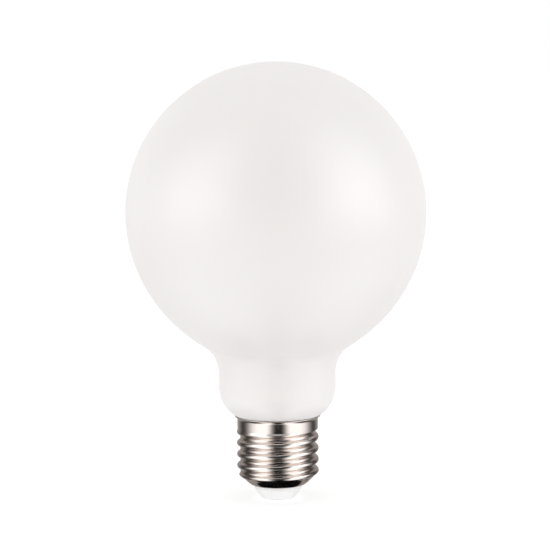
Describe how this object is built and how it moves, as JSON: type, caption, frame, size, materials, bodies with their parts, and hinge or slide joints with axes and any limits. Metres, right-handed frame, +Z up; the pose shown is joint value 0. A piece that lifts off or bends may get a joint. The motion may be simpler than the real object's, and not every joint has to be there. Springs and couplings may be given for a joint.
{
  "type": "globe bulb",
  "caption": "Large opal glass globe lamp on a nickel plated Edison screw cap, with a coarse knuckle thread, a white insulator and a centre contact.",
  "frame": {"origin": "middle of the centre contact's underside, on the bulb's axis", "axes": "+Z up the bulb's axis from the contact to the top of the globe, -Y to the front of the picture, +X to its right"},
  "size_m": [0.095, 0.095, 0.139],
  "materials": {
    "opal_glass": "satin",
    "nickel_plate": "polished",
    "white_insulator": "satin",
    "contact_metal": "satin"
  },
  "bodies": {
    "root": {"glass_globe": "opal_glass", "screw_shell": "nickel_plate", "insulator": "white_insulator", "centre_contact": "contact_metal"}
  },
  "joints": []
}
